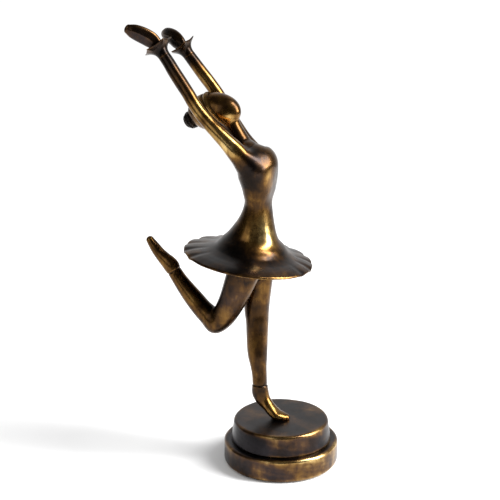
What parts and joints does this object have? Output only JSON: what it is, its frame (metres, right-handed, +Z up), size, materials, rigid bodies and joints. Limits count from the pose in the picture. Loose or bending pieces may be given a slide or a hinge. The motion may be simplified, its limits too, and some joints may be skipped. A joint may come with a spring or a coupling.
{
  "type": "dancer statuette",
  "caption": "Bronze statuette of a stylised ballet dancer on a round stepped base, with one leg bent up behind and both arms raised behind the head",
  "frame": {"origin": "centre of the face that the base stands on", "axes": "+Z up, +X the way the dancer faces, +Y to the dancer's left"},
  "size_m": [0.1719, 0.1057, 0.3652],
  "materials": {
    "bronze": "satin, brown patina with rubbed golden highlights",
    "dark_bronze": "satin, dark brown patina",
    "base_bronze": "satin, mottled brown patina with worn golden rims",
    "steel": "plain",
    "felt": "matte"
  },
  "bodies": {
    "root": {"base_felt_pad": "felt", "base_lower_step": "base_bronze", "base_upper_step": "base_bronze", "anchor_rod": "steel", "anchor_washer": "steel", "anchor_nut": "steel", "left_slipper": "bronze", "left_leg": "bronze", "pelvis": "dark_bronze", "right_thigh": "bronze", "right_shin": "bronze", "right_slipper": "bronze", "tutu": "dark_bronze", "torso": "bronze", "head": "bronze", "hair_bun": "dark_bronze", "right_arm": "bronze", "left_arm": "bronze", "right_cuff": "bronze", "left_cuff": "bronze", "right_hand": "bronze", "left_hand": "bronze", "waist_rod": "steel", "neck_pin": "steel", "right_shoulder_pin": "steel", "left_shoulder_pin": "steel", "right_hip_pin": "steel", "left_hip_pin": "steel", "right_wrist_pin": "steel", "left_wrist_pin": "steel"}
  },
  "joints": []
}
